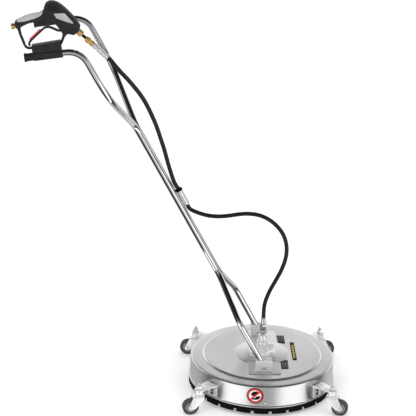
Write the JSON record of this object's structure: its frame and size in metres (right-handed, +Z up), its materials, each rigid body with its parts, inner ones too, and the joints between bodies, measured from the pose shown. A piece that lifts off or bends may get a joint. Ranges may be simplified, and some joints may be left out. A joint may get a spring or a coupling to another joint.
{
  "type": "surface cleaner",
  "caption": "Walk-behind pressure-washer surface cleaner: round steel housing with rubber skirt, swivel casters, rotating spray bar, two-tube tilting handle, trigger gun and hose.",
  "frame": {"origin": "on the floor under the wheels, midway between the ends of the machine and on its mid plane", "axes": "+Z up; +X from the grips towards the housing; +Y from the gun side to the plain grip side"},
  "size_m": [1.022, 0.4652, 1.2925],
  "materials": {
    "stainless": "brushed stainless sheet, fine straight grain",
    "chrome": "bright polished plating",
    "brass": "turned, lightly dulled",
    "rubber": "matte black",
    "hose": "smooth satin black cover",
    "tyre": "matte dark grey",
    "hub": "moulded grey",
    "gun_plastic": "fine-textured black moulding",
    "lock_red": "smooth red moulding"
  },
  "bodies": {
    "base": {"housing_shell": "stainless", "splash_skirt": "rubber", "skirt_band": "stainless", "swivel_flange": "stainless", "swivel_body": "stainless", "swivel_bushing": "brass", "shaft_seal": "rubber", "inlet_adapter": "chrome", "hose_ferrule_lower": "chrome", "hose_lower": "hose", "hinge_bracket_near": "stainless", "hinge_bracket_far": "stainless", "pivot_bolt_near": "chrome", "pivot_bolt_far": "chrome", "caster_arm_front_left": "stainless", "caster_arm_front_right": "stainless", "caster_arm_rear_left": "stainless", "caster_arm_rear_right": "stainless", "caster_stem_front_left": "chrome", "caster_stem_front_right": "chrome", "caster_stem_rear_left": "chrome", "caster_stem_rear_right": "chrome"},
    "rotor": {"rotor_shaft": "stainless", "spray_bar": "stainless", "nozzle_left": "brass", "nozzle_right": "brass"},
    "handle": {"handle_tube_near": "chrome", "handle_tube_far": "chrome", "hose_guide": "chrome", "grip_near": "rubber", "grip_far": "rubber", "gun_clamp": "gun_plastic", "gun_shell_near": "gun_plastic", "gun_shell_far": "gun_plastic", "trigger_pin": "chrome", "gun_valve": "brass", "gun_inlet": "brass", "gun_outlet": "brass", "quick_coupler": "brass", "hose_ferrule_upper": "chrome", "hose_upper": "hose"},
    "trigger_bar": {"trigger": "gun_plastic"},
    "trigger_latch": {"trigger_lock": "lock_red"},
    "coupler_ring": {"coupler_sleeve": "brass"},
    "caster_front_left": {"caster_fork_front_left": "chrome", "caster_axle_front_left": "chrome"},
    "wheel_front_left": {"caster_hub_front_left": "hub", "caster_tyre_front_left": "tyre"},
    "caster_front_right": {"caster_fork_front_right": "chrome", "caster_axle_front_right": "chrome"},
    "wheel_front_right": {"caster_hub_front_right": "hub", "caster_tyre_front_right": "tyre"},
    "caster_rear_left": {"caster_fork_rear_left": "chrome", "caster_axle_rear_left": "chrome"},
    "wheel_rear_left": {"caster_hub_rear_left": "hub", "caster_tyre_rear_left": "tyre"},
    "caster_rear_right": {"caster_fork_rear_right": "chrome", "caster_axle_rear_right": "chrome"},
    "wheel_rear_right": {"caster_hub_rear_right": "hub", "caster_tyre_rear_right": "tyre"}
  },
  "joints": [
    {"name": "handle_tilt", "type": "hinge", "parent": "base", "child": "handle", "pos_m": [0.25037, 0, 0.126], "axis": [0, 1, 0], "range_deg": [-40, 28], "deforming": ["hose_lower"]},
    {"name": "rotor_spin", "type": "hinge", "parent": "base", "child": "rotor", "pos_m": [0.25337, 0, 0.1], "axis": [0, 0, 1], "continuous": true},
    {"name": "caster_swivel_front_left", "type": "hinge", "parent": "base", "child": "caster_front_left", "pos_m": [0.04753, -0.20584, 0.07], "axis": [0, 0, 1], "continuous": true},
    {"name": "wheel_spin_front_left", "type": "hinge", "parent": "caster_front_left", "child": "wheel_front_left", "pos_m": [0.02173, -0.21039, 0.0254], "axis": [0.1736, -0.9848, 0], "continuous": true},
    {"name": "caster_swivel_front_right", "type": "hinge", "parent": "base", "child": "caster_front_right", "pos_m": [0.45921, -0.20584, 0.07], "axis": [0, 0, 1], "continuous": true},
    {"name": "wheel_spin_front_right", "type": "hinge", "parent": "caster_front_right", "child": "wheel_front_right", "pos_m": [0.48501, -0.21039, 0.0254], "axis": [0.1736, 0.9848, 0], "continuous": true},
    {"name": "caster_swivel_rear_left", "type": "hinge", "parent": "base", "child": "caster_rear_left", "pos_m": [0.04753, 0.20584, 0.07], "axis": [0, 0, 1], "continuous": true},
    {"name": "wheel_spin_rear_left", "type": "hinge", "parent": "caster_rear_left", "child": "wheel_rear_left", "pos_m": [0.02173, 0.21039, 0.0254], "axis": [-0.1736, -0.9848, 0], "continuous": true},
    {"name": "caster_swivel_rear_right", "type": "hinge", "parent": "base", "child": "caster_rear_right", "pos_m": [0.45921, 0.20584, 0.07], "axis": [0, 0, 1], "continuous": true},
    {"name": "wheel_spin_rear_right", "type": "hinge", "parent": "caster_rear_right", "child": "wheel_rear_right", "pos_m": [0.48531, 0.20812, 0.0254], "axis": [-0.0872, 0.9962, 0], "continuous": true},
    {"name": "trigger_pull", "type": "hinge", "parent": "handle", "child": "trigger_bar", "pos_m": [-0.36597, -0.192, 1.20871], "axis": [0, 1, 0], "range_deg": [0, 14], "stiffness_Nm_per_rad": 2, "springref_deg": -11.46},
    {"name": "trigger_lock_flip", "type": "hinge", "parent": "trigger_bar", "child": "trigger_latch", "pos_m": [-0.45854, -0.192, 1.17999], "axis": [0, 1, 0], "range_deg": [-55, 0]},
    {"name": "coupler_slide", "type": "slide", "parent": "handle", "child": "coupler_ring", "axis": [0.7434, 0, -0.6689], "range_m": [0, 0.004], "stiffness_N_per_m": 800, "springref_m": -0.002}
  ]
}
